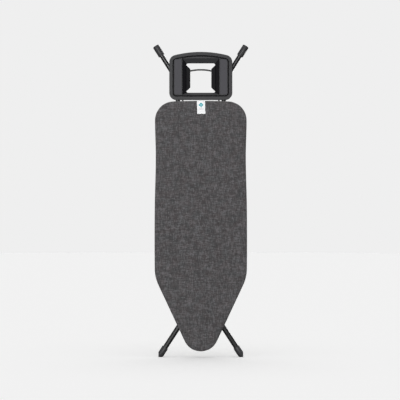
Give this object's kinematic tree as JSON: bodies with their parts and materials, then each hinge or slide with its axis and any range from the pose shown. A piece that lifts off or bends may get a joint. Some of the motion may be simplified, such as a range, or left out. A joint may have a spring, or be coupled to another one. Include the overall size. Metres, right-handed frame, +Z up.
{
  "type": "ironing board",
  "caption": "Folding ironing board stored upright: padded tapered board with a fitted cloth cover, moulded iron rest and crossed tubular legs folded flat behind it.",
  "frame": {"origin": "on the floor under the middle of the folded board's box", "axes": "+Z up along the board from its nose to the iron rest, +X to the right, +Y to the back where the legs fold; the ironing surface faces -Y"},
  "size_m": [0.4736, 0.0664, 1.553],
  "materials": {
    "cover_fabric": "charcoal melange cotton weave",
    "white_tape": "woven satin label",
    "cord_black": "braided polyester",
    "felt": "needled felt",
    "deck_steel": "galvanised and lacquered mesh",
    "frame_black": "satin black powder coat",
    "frame_grey": "light grey powder coat",
    "zinc_steel": "zinc plated",
    "black_plastic": "fine textured moulding",
    "grey_plastic": "moulded",
    "pad_rubber": "heat-proof silicone",
    "strip_rubber": "heat-proof silicone",
    "sole_rubber": "matt",
    "nylon": "natural nylon"
  },
  "bodies": {
    "board": {"cover": "cover_fabric", "cover_label": "white_tape", "cover_drawcord": "cord_black", "cord_lock_barrel": "black_plastic", "cord_lock_spring": "zinc_steel", "underlay": "felt", "deck_mesh": "deck_steel", "rim_channel": "frame_grey", "hinge_beam": "frame_grey", "rail_beam": "frame_grey", "rear_beam": "frame_grey", "hinge_bracket_right": "frame_black", "hinge_bracket_left": "frame_black", "hinge_pins": "zinc_steel", "hinge_washers": "nylon", "guide_rail_right": "frame_black", "guide_rail_left": "frame_black", "frame_rivets": "zinc_steel", "lock_bracket": "frame_black", "lock_pin": "zinc_steel", "lock_spring": "zinc_steel", "lever_bracket": "black_plastic", "lever_spring": "zinc_steel", "tray_frame": "black_plastic", "tray_pad_right": "pad_rubber", "tray_pad_left": "pad_rubber", "tray_strip_right": "strip_rubber", "tray_strip_left": "strip_rubber", "tray_rod": "frame_black", "rod_saddles": "black_plastic", "rod_straps": "zinc_steel", "strap_screws": "zinc_steel"},
    "outer_frame": {"outer_leg_right": "frame_black", "outer_leg_left": "frame_black", "outer_brace": "frame_black", "outer_hinge_sleeves": "zinc_steel", "outer_end_plugs": "black_plastic", "pivot_bolts": "zinc_steel", "pivot_washers": "nylon", "pivot_nuts": "black_plastic", "upper_foot_right": "black_plastic", "upper_foot_left": "black_plastic", "upper_soles": "sole_rubber"},
    "inner_frame": {"inner_leg_right": "frame_black", "inner_leg_left": "frame_black", "inner_brace": "frame_black", "inner_crossbar": "zinc_steel", "inner_pivot_sleeves": "zinc_steel", "inner_end_plugs": "black_plastic", "lower_foot_right": "black_plastic", "lower_foot_left": "black_plastic", "lower_soles": "sole_rubber"},
    "glides": {"glide_right": "nylon", "glide_left": "nylon"},
    "lock_bar": {"lock_bar": "zinc_steel"},
    "release_lever": {"release_rod": "zinc_steel", "release_handle": "black_plastic"},
    "safety_slider": {"safety_slider": "grey_plastic"},
    "cord_lock_button": {"cord_lock_button": "black_plastic"}
  },
  "joints": [
    {"name": "outer_frame_hinge", "type": "hinge", "parent": "board", "child": "outer_frame", "pos_m": [0, 0.0122, 0.3725], "axis": [-1, 0, 0], "range_deg": [0, 53.4]},
    {"name": "centre_pivot", "type": "hinge", "parent": "outer_frame", "child": "inner_frame", "pos_m": [0, 0.0122, 0.7725], "axis": [-1, 0, 0], "range_deg": [-106.8, 0]},
    {"name": "glide_hinge", "type": "hinge", "parent": "inner_frame", "child": "glides", "pos_m": [0, 0.0122, 1.1725], "axis": [-1, 0, 0], "range_deg": [0, 53.4]},
    {"name": "release_lever_hinge", "type": "hinge", "parent": "board", "child": "release_lever", "pos_m": [0, -0.0033, 1.192], "axis": [-1, 0, 0], "range_deg": [0, 16], "stiffness_Nm_per_rad": 0.6, "springref_deg": -8.59},
    {"name": "lock_bar_hinge", "type": "hinge", "parent": "board", "child": "lock_bar", "pos_m": [0, 0.0259, 0.815], "axis": [-1, 0, 0], "range_deg": [0, 1.25]},
    {"name": "safety_slide", "type": "slide", "parent": "board", "child": "safety_slider", "axis": [0, 0, -1], "range_m": [0, 0.008]},
    {"name": "cord_lock_press", "type": "slide", "parent": "board", "child": "cord_lock_button", "axis": [0, 0, -1], "range_m": [0, 0.003], "stiffness_N_per_m": 400, "springref_m": -0.003, "deforming": ["cord_lock_spring"]}
  ],
  "couplings": [
    {"joint": "centre_pivot", "follows": "outer_frame_hinge", "ratio": -2},
    {"joint": "glide_hinge", "follows": "outer_frame_hinge", "ratio": 1},
    {"joint": "lock_bar_hinge", "follows": "release_lever_hinge", "ratio": 0.0755}
  ]
}
